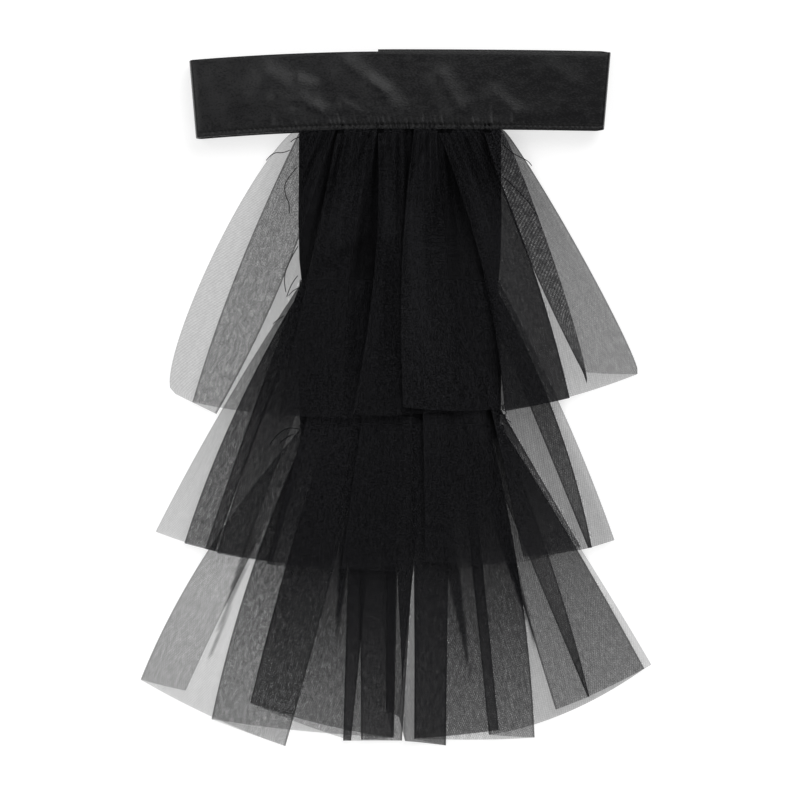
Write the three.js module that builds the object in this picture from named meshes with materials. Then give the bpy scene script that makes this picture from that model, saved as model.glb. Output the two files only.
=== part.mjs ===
// A jabot: a satin neck loop with a cloth panel and three gathered tulle ruffles.
// It lies on its back, +X to the right, +Y up the neck, +Z up from the surface, in millimetres.
import * as THREE from 'three';

// Neck loop, laid flat: its length round the upper edge, and how far each end leans in and droops
const NECK_LOOP = 401;
const BAND_HEIGHT = 37;
const BAND_WALL = 1.2;
const BAND_FLARE = 3.2;
const BAND_FOLD = 4;
const LEFT_DROOP = 4.2;
const RIGHT_DROOP = 1;

// Back ends: where the right one stops, how far it slipped up, and how far the left one passes it
const RIGHT_END_X = -10.5;
const RIGHT_END_RISE = 2;
const BACK_OVERLAP = 36;
const NECK_SPACE = 4.5;

// Closure between the two back ends
const PATCH_THICKNESS = 0.8;
const PATCH_MARGIN = 4;

// Cloth panel that carries the ruffles, and where it falls from the band to the surface
const PANEL_WIDTH = 97;
const PANEL_LENGTH = 147;
const PANEL_WALL = 1;
const FALL_START = 4;
const FALL_LENGTH = 26;
const SEAM_TUCK = 6;

// Ruffles: the upper one's seam is at the band's lower edge, the middle one's at a share of the
// panel's length, and the lower one's a margin above the panel's end
const TULLE_WALL = 1;
const MIDDLE_SEAM_SHARE = 0.503;
const SEAM_MARGIN = 4;
const HEADING = 3;
const FOLD_BEND = 1.3;
const UPPER_DEPTH = 136;
const MIDDLE_DEPTH = 134;
const LOWER_DEPTH = 150;
const UPPER_SPREAD = 113;
const MIDDLE_SPREAD = 117;
const LOWER_SPREAD = 123;

// Clearance between cloth layers, and between pieces
const LAYER_GAP = 0.4;
const PIECE_GAP = 0.3;

// Faceting
const DROP_ROWS = [0, 0.05, 0.11, 0.19, 0.3, 0.44, 0.6, 0.8, 1];
const FACET_WIDTH = 12;
const MOST_FACETS = 6;
const MOST_BEND_SHARE = 0.35;
const BAND_STEPS = 12;
const FOLD_STEPS = 6;
const FALL_STEPS = 6;
const MAP_CELL = 0.5;
const LIFT_ROUNDS = 12;
const SINK_ROUNDS = 4;

const satin = new THREE.MeshStandardMaterial({ color: 0x1b1b1d, roughness: 0.38, metalness: 0 });
const cloth = new THREE.MeshStandardMaterial({ color: 0x0d0d0f, roughness: 0.9, metalness: 0 });
const tulle = new THREE.MeshStandardMaterial({ color: 0x1c1c1f, roughness: 0.8, metalness: 0 });
const nylon = new THREE.MeshStandardMaterial({ color: 0x101012, roughness: 0.7, metalness: 0 });

// Fold lines of each ruffle, in order along the strip. The first and last rows are its raw ends.
// gather: place on the seam, in half panel widths; hem: place at the hem, in half spreads;
// drop: how far down the line ends, in cut depths; bow: how far it curves sideways, in cut depths.
const UPPER_FOLDS = [
  { gather: -0.99, hem: -0.947, drop: 0.925, bow: -0.1 },
  { gather: -0.68, hem: -0.775, drop: 0.995, bow: 0.035 },
  { gather: -0.97, hem: -0.876, drop: 0.953, bow: -0.03 },
  { gather: -0.24, hem: -0.232, drop: 1, bow: 0 },
  { gather: -0.61, hem: -0.505, drop: 0.994, bow: 0 },
  { gather: 0, hem: 0.008, drop: 1, bow: 0 },
  { gather: -0.22, hem: -0.202, drop: 0.994, bow: 0.01 },
  { gather: 0.4, hem: 0.232, drop: 0.985, bow: 0.02 },
  { gather: 0.14, hem: 0.013, drop: 0.97, bow: -0.01 },
  { gather: 0.77, hem: 0.716, drop: 0.938, bow: 0.01 },
  { gather: 0.55, hem: 0.438, drop: 0.985, bow: 0 },
  { gather: 1, hem: 1.002, drop: 0.853, bow: 0.035 },
  { gather: 0.81, hem: 0.771, drop: 0.846, bow: 0 },
  { gather: 0.98, hem: 0.787, drop: 0.888, bow: 0.03 },
];
const MIDDLE_FOLDS = [
  { gather: -0.99, hem: -0.997, drop: 0.877, bow: -0.02 },
  { gather: -0.8, hem: -0.81, drop: 0.93, bow: -0.03 },
  { gather: -0.95, hem: -0.879, drop: 0.917, bow: -0.03 },
  { gather: -0.54, hem: -0.575, drop: 0.98, bow: 0 },
  { gather: -0.77, hem: -0.793, drop: 0.931, bow: -0.04 },
  { gather: -0.24, hem: -0.28, drop: 1, bow: 0 },
  { gather: -0.5, hem: -0.54, drop: 0.99, bow: -0.01 },
  { gather: 0.14, hem: 0.04, drop: 0.988, bow: 0 },
  { gather: -0.2, hem: -0.24, drop: 1, bow: 0 },
  { gather: 0.56, hem: 0.44, drop: 0.98, bow: 0 },
  { gather: 0.2, hem: 0.1, drop: 0.977, bow: 0 },
  { gather: 0.95, hem: 0.789, drop: 0.924, bow: 0.03 },
  { gather: 0.62, hem: 0.5, drop: 0.963, bow: 0 },
  { gather: 0.93, hem: 0.781, drop: 0.931, bow: 0.02 },
  { gather: 0.79, hem: 0.765, drop: 0.934, bow: 0 },
  { gather: 0.99, hem: 0.875, drop: 0.906, bow: 0.04 },
];
const LOWER_FOLDS = [
  { gather: -0.89, hem: -0.832, drop: 0.819, bow: -0.05 },
  { gather: -0.99, hem: -0.998, drop: 0.784, bow: -0.06 },
  { gather: -0.6, hem: -0.445, drop: 0.997, bow: 0.01 },
  { gather: -0.91, hem: -0.731, drop: 0.908, bow: -0.03 },
  { gather: -0.1, hem: -0.19, drop: 0.977, bow: 0 },
  { gather: -0.56, hem: -0.58, drop: 0.857, bow: -0.02 },
  { gather: 0.1, hem: -0.027, drop: 0.968, bow: 0 },
  { gather: -0.3, hem: -0.221, drop: 0.977, bow: 0 },
  { gather: 0.4, hem: 0.178, drop: 0.993, bow: 0 },
  { gather: 0.02, hem: 0.066, drop: 0.968, bow: 0 },
  { gather: 0.6, hem: 0.383, drop: 0.943, bow: 0 },
  { gather: 0.34, hem: 0.344, drop: 0.958, bow: 0 },
  { gather: 1.02, hem: 0.967, drop: 0.717, bow: 0.03 },
  { gather: 0.66, hem: 0.604, drop: 0.879, bow: 0 },
  { gather: 1, hem: 0.955, drop: 0.755, bow: 0.03 },
];

// Panel edge: down is a share of its length, wide a share of its half width
const PANEL_EDGE = [
  { down: 0, wide: 0.99 },
  { down: 0.28, wide: 1 },
  { down: 0.42, wide: 0.99 },
  { down: 0.5, wide: 0.965 },
  { down: 0.62, wide: 0.995 },
  { down: 0.9, wide: 0.995 },
  { down: 1, wide: 0.965 },
];

// Heights of what is laid down so far, as a map of square cells seen from above
class Surface {
  constructor(reach, cell) {
    this.cell = cell;
    this.reach = reach;
    this.side = Math.ceil((2 * reach) / cell);
    this.heights = new Float64Array(this.side * this.side).fill(-LAYER_GAP);
  }

  corner(x, y) {
    const column = Math.floor((x + this.reach) / this.cell);
    const row = Math.floor((y + this.reach) / this.cell);
    return row * this.side + column;
  }

  needed(x, y) {
    const first = this.corner(x, y);
    const next = first + this.side;
    const { heights } = this;
    return Math.max(heights[first], heights[first + 1], heights[next], heights[next + 1]) + LAYER_GAP;
  }

  stamp(x, y, top) {
    const index = this.corner(x + this.cell / 2, y + this.cell / 2);
    this.heights[index] = Math.max(this.heights[index], top);
  }
}

// Calls visit with the weights of evenly spread points on a triangle
function samplePoints([a, b, c], spacing, visit) {
  const longest = Math.max(a.distanceTo(b), b.distanceTo(c), c.distanceTo(a));
  const count = Math.max(1, Math.ceil(longest / spacing));
  for (let i = 0; i <= count; i += 1) {
    for (let j = 0; j <= count - i; j += 1) {
      visit(1 - (i + j) / count, i / count, j / count);
    }
  }
}

// The two triangles of each cell of a grid of points
function gridTriangles(grid) {
  const triangles = [];
  for (let row = 0; row + 1 < grid.length; row += 1) {
    for (let column = 0; column + 1 < grid[row].length; column += 1) {
      const right = grid[row][column + 1];
      const below = grid[row + 1][column];
      triangles.push([right, grid[row][column], below], [right, below, grid[row + 1][column + 1]]);
    }
  }
  return triangles;
}

// The heights that the corners of a grid need at evenly spread points between them
function contactsOf(grid, surface) {
  const contacts = [];
  for (const triangle of gridTriangles(grid)) {
    const [a, b, c] = triangle;
    samplePoints(triangle, surface.cell, (u, v, w) => {
      const needed = surface.needed(u * a.x + v * b.x + w * c.x, u * a.y + v * b.y + w * c.y);
      contacts.push({ triangle, weights: [u, v, w], needed });
    });
  }
  return contacts;
}

function heightOver({ triangle: [a, b, c], weights: [u, v, w], needed }) {
  return u * a.z + v * b.z + w * c.z - needed;
}

// Lifts the corners round each place where the grid would sink in, but never above that place
function liftClear(contacts) {
  for (const contact of contacts) {
    const { triangle, weights, needed } = contact;
    const short = -heightOver(contact);
    const pull = triangle.reduce((sum, point, i) => sum + (point.z < needed ? weights[i] ** 2 : 0), 0);
    if (short > 0 && pull > 0) {
      triangle.forEach((point, i) => {
        if (point.z < needed) {
          point.z = Math.min(needed, point.z + (short * weights[i]) / pull);
        }
      });
    }
  }
}

// Lowers each point by a share of the room that is left under it
function sink(touching, share) {
  for (const [point, list] of touching) {
    let room = Infinity;
    for (const { contact, weight } of list) {
      room = Math.min(room, heightOver(contact) / weight);
    }
    point.z -= Math.max(0, room) * share;
  }
}

// Lays a grid of points on the surface, so that it touches there and keeps the layer gap everywhere
function settle(grid, surface) {
  const touching = new Map();
  for (const point of grid.flat()) {
    point.z = surface.needed(point.x, point.y);
    touching.set(point, []);
  }
  const contacts = contactsOf(grid, surface);
  for (const contact of contacts) {
    contact.triangle.forEach((point, i) => {
      if (contact.weights[i] > 0) {
        touching.get(point).push({ contact, weight: contact.weights[i] });
      }
    });
  }
  for (let round = 0; round < LIFT_ROUNDS; round += 1) {
    liftClear(contacts);
  }
  for (let round = 1; round <= SINK_ROUNDS; round += 1) {
    sink(touching, 1 / (SINK_ROUNDS + 1 - round));
  }
}

// Adds a grid's upper side, a wall above the grid itself, to the surface
function layOn(grid, wall, surface) {
  for (const triangle of gridTriangles(grid)) {
    const [a, b, c] = triangle;
    samplePoints(triangle, surface.cell / 2, (u, v, w) => {
      const x = u * a.x + v * b.x + w * c.x;
      const y = u * a.y + v * b.y + w * c.y;
      surface.stamp(x, y, u * a.z + v * b.z + w * c.z + wall);
    });
  }
}

// A closed solid between two matching grids of points, with its rim
function solidBetween(name, upper, lower, material) {
  const rows = upper.length;
  const columns = upper[0].length;
  const positions = [...upper.flat(), ...lower.flat()].flatMap((point) => [point.x, point.y, point.z]);
  const top = (row, column) => row * columns + column;
  const bottom = (row, column) => rows * columns + top(row, column);
  const faces = [];
  const quad = (a, b, c, d) => faces.push(a, b, c, a, c, d);
  const last = columns - 1;
  const end = rows - 1;
  for (let row = 0; row < end; row += 1) {
    const under = row + 1;
    for (let column = 0; column < last; column += 1) {
      const next = column + 1;
      quad(top(row, next), top(row, column), top(under, column), top(under, next));
      quad(bottom(row, next), bottom(under, next), bottom(under, column), bottom(row, column));
    }
    quad(top(under, 0), top(row, 0), bottom(row, 0), bottom(under, 0));
    quad(top(row, last), top(under, last), bottom(under, last), bottom(row, last));
  }
  for (let column = 0; column < last; column += 1) {
    const next = column + 1;
    quad(top(0, column), top(0, next), bottom(0, next), bottom(0, column));
    quad(top(end, next), top(end, column), bottom(end, column), bottom(end, next));
  }
  const geometry = new THREE.BufferGeometry();
  geometry.setAttribute('position', new THREE.Float32BufferAttribute(positions, 3));
  geometry.setIndex(faces);
  const mesh = new THREE.Mesh(geometry, material);
  mesh.name = name;
  return mesh;
}

// Where a fold line is at a share of the way from the seam to the hem. Above the seam it runs straight up.
function foldPoint(fold, tier, share) {
  const way = Math.max(share, 0);
  const drop = share > 0 ? fold.drop : 1;
  const seamX = (fold.gather * PANEL_WIDTH) / 2;
  const hemX = fold.hem * tier.spread;
  const curve = 2 * Math.sqrt(way * (1 - way)) * fold.bow * tier.depth;
  return { x: seamX + (hemX - seamX) * way + curve, y: -tier.seam - share * drop * tier.depth };
}

// The points across one pleat, from one fold line to the next, at each height. The outermost point on
// each side is the tip of the fold, and the next one in is where the fold's bend begins.
function pleatGrid(first, second, tier) {
  const hemWidth = Math.abs(second.hem - first.hem) * tier.spread;
  const seamWidth = (Math.abs(second.gather - first.gather) * PANEL_WIDTH) / 2;
  const facets = Math.min(MOST_FACETS, Math.max(1, Math.round(hemWidth / FACET_WIDTH)));
  const widening = Math.max(0, hemWidth - seamWidth) / tier.depth;
  const heights = [-tier.heading / tier.depth, ...DROP_ROWS];
  return heights.map((height) => {
    const from = foldPoint(first, tier, height);
    const to = foldPoint(second, tier, height);
    const width = Math.abs(to.x - from.x);
    const inset = Math.min(FOLD_BEND / width, MOST_BEND_SHARE);
    const inner = Array.from({ length: facets + 1 }, (_, i) => inset + ((1 - 2 * inset) * i) / facets);
    return [0, ...inner, 1].map((across) => {
      const sag = (width * widening * across * (1 - across)) / 2;
      const x = from.x + (to.x - from.x) * across;
      return new THREE.Vector3(x, from.y + (to.y - from.y) * across - sag * Math.max(height, 0), 0);
    });
  });
}

// A gathered strip: its pleats are laid down one after the other, each on top of what lies there
function ruffle(name, tier, surface) {
  const upper = [];
  const lower = [];
  let previous = null;
  let direction = Math.sign(tier.folds[1].hem - tier.folds[0].hem);
  for (let i = 0; i + 1 < tier.folds.length; i += 1) {
    const grid = pleatGrid(tier.folds[i], tier.folds[i + 1], tier);
    settle(grid, surface);
    layOn(grid, TULLE_WALL, surface);
    const isLast = i + 2 === tier.folds.length;
    grid.forEach((line, row) => {
      upper[row] ??= [];
      lower[row] ??= [];
      if (previous) {
        const tip = line[0].clone();
        tip.z = (line[0].z + previous[row].at(-1).z + TULLE_WALL) / 2;
        const inside = tip.clone();
        inside.x += direction * Math.min(TULLE_WALL, Math.abs(line.at(-1).x - tip.x) / 2);
        upper[row].push(direction > 0 ? tip : inside);
        lower[row].push(direction > 0 ? inside : tip);
      }
      for (const point of line.slice(previous ? 1 : 0, isLast ? undefined : -1)) {
        const raised = point.clone();
        raised.z += TULLE_WALL;
        upper[row].push(direction > 0 ? raised : point);
        lower[row].push(direction > 0 ? point : raised);
      }
    });
    previous = grid;
    direction = -direction;
  }
  return solidBetween(name, upper, lower, tulle);
}

// Seams, down from the band's lower edge
const middleSeam = PANEL_LENGTH * MIDDLE_SEAM_SHARE;
const lowerSeam = PANEL_LENGTH - SEAM_MARGIN;

// Places of the neck loop's walls, from the surface up
const patchUnder = BAND_WALL + PIECE_GAP;
const rightEndUnder = patchUnder + PATCH_THICKNESS + PIECE_GAP;
const panelSeamUnder = rightEndUnder + BAND_WALL + NECK_SPACE;
const halfLoop = NECK_LOOP / 4;

// A point of the band: across is its x on the upper edge, up runs from 0 at the lower edge to 1
function bandPoint(across, up, z, rise) {
  const x = across * (1 - (BAND_FLARE / halfLoop) * (1 - up));
  const droop = (across < 0 ? LEFT_DROOP : RIGHT_DROOP) * (across / halfLoop) ** 2;
  return new THREE.Vector3(x, up * BAND_HEIGHT - droop + rise, z);
}

// The loop's middle line seen from its lower edge: the right back end, the right fold, the front,
// the left fold and the left back end, each point with its direction of travel
function bandRoute(frontMiddle) {
  const rightBack = rightEndUnder + BAND_WALL / 2;
  const leftBack = BAND_WALL / 2;
  const bend = halfLoop - BAND_FOLD - BAND_WALL / 2;
  const route = [];
  const run = (fromX, toX, z, rise) => {
    for (let i = 0; i < BAND_STEPS; i += 1) {
      const x = fromX + ((toX - fromX) * i) / BAND_STEPS;
      route.push({ x, z, rise: rise(x), turn: toX > fromX ? 0 : Math.PI });
    }
  };
  const fold = (side, fromZ, toZ) => {
    for (let i = 0; i <= FOLD_STEPS; i += 1) {
      const angle = (Math.PI * i) / FOLD_STEPS;
      const x = side * (bend + BAND_FOLD * Math.sin(angle));
      const z = (fromZ + toZ) / 2 + ((fromZ - toZ) / 2) * Math.cos(angle);
      route.push({ x, z, rise: 0, turn: side > 0 ? angle : Math.PI + angle });
    }
  };
  run(RIGHT_END_X, bend, rightBack, (x) => (RIGHT_END_RISE * (bend - x)) / (bend - RIGHT_END_X));
  fold(1, rightBack, frontMiddle);
  run(bend, -bend, frontMiddle, () => 0);
  fold(-1, frontMiddle, leftBack);
  run(-bend, RIGHT_END_X + BACK_OVERLAP, leftBack, () => 0);
  route.push({ x: RIGHT_END_X + BACK_OVERLAP, z: leftBack, rise: 0, turn: 0 });
  return route;
}

// The satin strip as one closed loop with overlapping back ends
function neckband(frontUnder) {
  const route = bandRoute(frontUnder + BAND_WALL / 2);
  const side = (sign) => [1, 0.5, 0].map((up) => route.map(({ x, z, rise, turn }) => {
    const out = (sign * BAND_WALL) / 2;
    return bandPoint(x - out * Math.sin(turn), up, z + out * Math.cos(turn), rise);
  }));
  return solidBetween('neckband', side(1), side(-1), satin);
}

// The closure's plain patch between the two back ends
function closurePatch() {
  const width = BACK_OVERLAP - 2 * PATCH_MARGIN;
  const height = BAND_HEIGHT - 2 * PATCH_MARGIN;
  const patch = new THREE.Mesh(new THREE.BoxGeometry(width, height, PATCH_THICKNESS), nylon);
  patch.name = 'closure_patch';
  patch.position.set(RIGHT_END_X + BACK_OVERLAP / 2, BAND_HEIGHT / 2, patchUnder + PATCH_THICKNESS / 2);
  return patch;
}

// Half the panel's width at a distance down from the band's lower edge
function panelHalfWidth(down) {
  const share = Math.max(0, down / PANEL_LENGTH);
  const next = Math.max(1, PANEL_EDGE.findIndex((edge) => edge.down >= share));
  const [before, after] = [PANEL_EDGE[next - 1], PANEL_EDGE[next]];
  const part = (share - before.down) / (after.down - before.down);
  return (PANEL_WIDTH / 2) * (before.wide + (after.wide - before.wide) * part);
}

// The panel's lines across, from under the band, down its fall to the surface and on to its end
function panelGrid() {
  const step = FALL_LENGTH / FALL_STEPS;
  const fall = Array.from({ length: FALL_STEPS + 1 }, (_, i) => FALL_START + step * i);
  const edges = PANEL_EDGE.map((edge) => edge.down * PANEL_LENGTH);
  const flat = edges.filter((down) => down > FALL_START + FALL_LENGTH);
  return [-SEAM_TUCK, 0, ...fall, ...flat].map((down) => {
    const part = Math.min(1, Math.max(0, (down - FALL_START) / FALL_LENGTH));
    const z = panelSeamUnder * (1 - part * part * (3 - 2 * part));
    const half = panelHalfWidth(down);
    return [new THREE.Vector3(-half, -down, z), new THREE.Vector3(half, -down, z)];
  });
}

function raise(grid, height) {
  return grid.map((line) => line.map((point) => new THREE.Vector3(point.x, point.y, point.z + height)));
}

// The band's back lies under everything else near it
function bandFootprint() {
  const z = rightEndUnder + BAND_WALL;
  return [1, 0].map((up) => [-halfLoop, 0, halfLoop].map((across) => bandPoint(across, up, z, 0)));
}

const surface = new Surface(lowerSeam + LOWER_DEPTH + BAND_HEIGHT, MAP_CELL);
const backing = panelGrid();
layOn(bandFootprint(), 0, surface);
layOn(backing, PANEL_WALL, surface);

const lowerTier = {
  seam: lowerSeam, depth: LOWER_DEPTH, spread: LOWER_SPREAD, heading: HEADING, folds: LOWER_FOLDS,
};
const middleTier = {
  seam: middleSeam, depth: MIDDLE_DEPTH, spread: MIDDLE_SPREAD, heading: HEADING, folds: MIDDLE_FOLDS,
};
const upperTier = {
  seam: 0, depth: UPPER_DEPTH, spread: UPPER_SPREAD, heading: SEAM_TUCK, folds: UPPER_FOLDS,
};
const lowerRuffle = ruffle('lower_ruffle', lowerTier, surface);
const middleRuffle = ruffle('middle_ruffle', middleTier, surface);
const upperRuffle = ruffle('upper_ruffle', upperTier, surface);

// The front of the band lies just above the ruffle that is sewn in under it
const ruffled = upperRuffle.geometry.attributes.position;
const corners = Array.from({ length: ruffled.count }, (_, i) => i);
const tucked = corners.filter((i) => ruffled.getY(i) > -LEFT_DROOP);
const frontUnder = Math.max(...tucked.map((i) => ruffled.getZ(i))) + PIECE_GAP;

const jabot = new THREE.Group();
jabot.add(neckband(frontUnder));
jabot.add(closurePatch());
jabot.add(solidBetween('backing_panel', raise(backing, PANEL_WALL), backing, cloth));
jabot.add(upperRuffle, middleRuffle, lowerRuffle);

// The origin is on the surface, under the middle of the whole piece
const bounds = new THREE.Box3().setFromObject(jabot);
const middle = bounds.getCenter(new THREE.Vector3());
jabot.position.set(-middle.x, -middle.y, -bounds.min.z);

export default jabot;
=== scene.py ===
"""A black jabot lying flat: a satin neck loop, a cloth panel and tiers of gathered tulle."""
import logging
import math
from collections.abc import Mapping
from dataclasses import dataclass, field
from enum import Enum

import bpy
import numpy as np
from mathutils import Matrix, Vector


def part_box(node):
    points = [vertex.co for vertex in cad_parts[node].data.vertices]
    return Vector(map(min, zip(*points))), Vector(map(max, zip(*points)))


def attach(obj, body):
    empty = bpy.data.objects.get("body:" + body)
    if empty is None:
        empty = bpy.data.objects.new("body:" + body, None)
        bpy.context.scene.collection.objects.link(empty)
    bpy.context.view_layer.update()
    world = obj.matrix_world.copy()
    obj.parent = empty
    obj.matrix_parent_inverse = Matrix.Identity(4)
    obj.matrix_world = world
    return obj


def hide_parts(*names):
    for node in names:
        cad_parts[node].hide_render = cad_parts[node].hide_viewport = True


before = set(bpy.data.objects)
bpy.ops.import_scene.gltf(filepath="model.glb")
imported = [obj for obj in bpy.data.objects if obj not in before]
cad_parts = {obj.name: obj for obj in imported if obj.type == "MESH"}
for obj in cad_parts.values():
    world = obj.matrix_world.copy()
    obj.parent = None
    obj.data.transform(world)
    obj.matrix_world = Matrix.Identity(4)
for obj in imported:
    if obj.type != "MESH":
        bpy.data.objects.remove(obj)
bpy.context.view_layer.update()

Piece, Material, Array = bpy.types.Object, bpy.types.Material, np.ndarray
MM = 0.001
PIXEL = 0.476 * MM
MIDDLE_COLUMN = 400
BAND_ROW = 130
PATCH_MIDDLE = (7.5 * MM, 18.5 * MM)
UNDER_BAND = 0.8 * MM
LOG = logging.getLogger("jabot")


class Slot(Enum):
    """The record's material slots for the new pieces."""

    SATIN = "satin"
    CLOTH = "cloth"
    TULLE = "tulle"


class Value:
    """A shader value. Python arithmetic on it adds Math nodes."""

    def __init__(self, recipe: "Recipe", socket: bpy.types.NodeSocket) -> None:
        """Wraps one output socket of a recipe's node."""
        self.recipe = recipe
        self.socket = socket

    def _math(self, operation: str, *terms: "Value | float") -> "Value":
        """Adds one Math node with its inputs in order."""
        return self.recipe.add("ShaderNodeMath", dict(enumerate(terms)), operation=operation)

    def __add__(self, other: "Value | float") -> "Value":
        """Sum."""
        return self._math("ADD", self, other)

    __radd__ = __add__

    def __sub__(self, other: "Value | float") -> "Value":
        """Difference."""
        return self._math("SUBTRACT", self, other)

    def __rsub__(self, other: float) -> "Value":
        """Difference from a number."""
        return self._math("SUBTRACT", other, self)

    def __mul__(self, other: "Value | float") -> "Value":
        """Product."""
        return self._math("MULTIPLY", self, other)

    def __rpow__(self, other: float) -> "Value":
        """A number to the power of this value."""
        return self._math("POWER", other, self)

    def sine(self) -> "Value":
        """Sine of an angle in radians."""
        return self._math("SINE", self)

    def at_least(self, other: float) -> "Value":
        """The larger of this and a number."""
        return self._math("MAXIMUM", self, other)

    def clamped(self) -> "Value":
        """This value, kept from 0 to 1."""
        return self._math("MINIMUM", self.at_least(0.0), 1.0)


class Recipe:
    """A material under construction, with one Principled shader."""

    def __init__(self, name: str) -> None:
        """Starts an empty node tree.

        Args:
            name: The material's name.
        """
        self.material = bpy.data.materials.new(name)
        self.material.use_nodes = True
        self.tree = self.material.node_tree
        self.tree.nodes.clear()
        self.shader = self.tree.nodes.new("ShaderNodeBsdfPrincipled")
        output = self.tree.nodes.new("ShaderNodeOutputMaterial")
        self.tree.links.new(self.shader.outputs["BSDF"], output.inputs["Surface"])

    def feed(self, node: bpy.types.Node, inputs: Mapping) -> None:
        """Sets or links a node's inputs.

        Args:
            node: The node.
            inputs: Input name or number to a Value, a number or a tuple.
        """
        for key, value in inputs.items():
            if isinstance(value, Value):
                self.tree.links.new(value.socket, node.inputs[key])
            else:
                node.inputs[key].default_value = value

    def add(self, kind: str, inputs: Mapping | None = None, output: str | int = 0,
            **settings: str) -> Value:
        """Adds any node.

        Args:
            kind: The node's type.
            inputs: Input name or number to a Value, a number or a tuple.
            output: Name or number of the output to return.
            settings: The node's properties.

        Returns:
            That output.
        """
        node = self.tree.nodes.new(kind)
        for key, value in settings.items():
            setattr(node, key, value)
        self.feed(node, inputs or {})
        return Value(self, node.outputs[output])

    def place(self) -> Value:
        """Where a point of the piece is, in metres."""
        return self.add("ShaderNodeTexCoord", output="Object")

    def stored(self, name: str, output: str = "Fac") -> Value:
        """What the piece stores at its points under a name."""
        return self.add("ShaderNodeAttribute", output=output, attribute_name=name)

    def split(self, vector: Value) -> tuple[Value, Value, Value]:
        """The x, y and z of a vector."""
        x = self.add("ShaderNodeSeparateXYZ", {0: vector})
        node = x.socket.node
        return x, Value(self, node.outputs[1]), Value(self, node.outputs[2])

    def join(self, x: Value | float, y: Value | float, z: Value | float = 0.0) -> Value:
        """A vector of three values."""
        return self.add("ShaderNodeCombineXYZ", {0: x, 1: y, 2: z})

    def noise(self, place: Value, scale: float, detail: float = 2.0) -> Value:
        """Smooth noise from 0 to 1 at a place, of a fineness and a number of octaves."""
        return self.add("ShaderNodeTexNoise", {"Vector": place, "Scale": scale, "Detail": detail})

    def blend(self, share: Value, first: Value | tuple, second: Value | tuple) -> Value:
        """A colour between two: share 0 gives the first and 1 the second."""
        return self.add("ShaderNodeMix", {"Factor": share, 6: first, 7: second}, 2, data_type="RGBA")

    def bump(self, height: Value, depth: float, strength: float) -> Value:
        """A surface normal from a height, where a height of 1 stands for depth in metres."""
        inputs = {"Height": height, "Distance": depth, "Strength": strength}
        return self.add("ShaderNodeBump", inputs)


class Finish:
    """What a material is made from. Each finish mixes its own."""

    name: str

    def mix(self, recipe: Recipe) -> Mapping:
        """Works out the Principled shader's inputs."""
        raise NotImplementedError

    def material(self) -> Material:
        """Builds the material."""
        recipe = Recipe(self.name)
        recipe.feed(recipe.shader, self.mix(recipe))
        return recipe.material


@dataclass(frozen=True)
class TulleFinish(Finish):
    """Black net that shows more or less of what is under it.

    cover is how much one sheet hides and crease_cover how much a crease adds. hole is the
    distance between holes, and rows is which way their two rows run. single is how clearly
    the holes of a sheet show where it crosses no other. grit, speck and streak are the
    uneven spots of the net from coarse to fine and along its length, each with its scale.
    """

    name: str = "black_tulle"
    dark: tuple = (0.0012, 0.0012, 0.0015, 1)
    light: tuple = (0.0165, 0.0165, 0.0182, 1)
    cover: float = 0.364
    crease_cover: float = 0.32
    thinnest: float = 0.05
    hole: float = 0.88 * MM
    hole_contrast: float = 0.28
    rows: tuple = ((0.92, 0.4), (0.5, -0.87))
    single: float = 0.45
    sway: float = 14.0
    sway_scale: float = 26.0
    streak: float = 0.25
    streak_scales: tuple = (260, 7)
    grit: float = 2.4
    grit_scale: float = 420.0
    grit_stretch: tuple = (1.7, 0.6)
    speck: float = 3.4
    speck_scale: float = 1500.0
    deepest_gap: float = -0.55
    tone: float = 0.56
    tone_speck: float = 4.6
    tone_crease: float = 0.15
    # How much the painted shade darkens the net's colour.
    painted_shade_weight: float = 0.75

    def mix(self, recipe: Recipe) -> Mapping:
        """Reads what each ruffle stores at its points.

        Args:
            recipe: The material under construction.

        Returns:
            The shader's inputs.
        """
        grain = recipe.stored("grain", "Vector")
        net, crease, shade, overlap = map(recipe.stored, ("net", "crease", "shade", "overlap"))
        along, down, _ = recipe.split(grain)
        turn = 2 * math.pi / self.hole
        sway = recipe.noise(grain, self.sway_scale, 1.0) * self.sway
        first, second = (((along * a + down * b) * turn + sway).sine() for a, b in self.rows)
        holes = (first + second * 0.5) * self.hole_contrast * (overlap + self.single)
        far, near = self.streak_scales
        streaks = recipe.noise(recipe.join(along * far, down * near), 1.0, 3.0) - 0.5
        far, near = self.grit_stretch
        grit = recipe.noise(recipe.join(along * far, down * near), self.grit_scale) - 0.5
        speck = recipe.noise(grain, self.speck_scale, 1.0) - 0.5
        moire = (grit * self.grit + speck * self.speck) * (overlap * 1.05 + 0.15)
        density = net * (1 + holes + streaks * self.streak + moire.at_least(self.deepest_gap))
        clear = (1 - self.cover) ** density.at_least(self.thinnest)
        tone = grit + speck * self.tone_speck + self.tone
        # Painted shade in the gathers' hollows and in each listed valley wedge, and painted light on
        # each ridge wedge, taken off the net's colour.
        tone = tone + crease * self.tone_crease - shade * self.painted_shade_weight
        return {
            "Base Color": recipe.blend(tone.clamped(), self.dark, self.light),
            "Roughness": 0.75,
            "Specular IOR Level": 0.03,
            "Alpha": (1 - clear * (1 - crease * self.crease_cover)).clamped(),
        }


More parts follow.
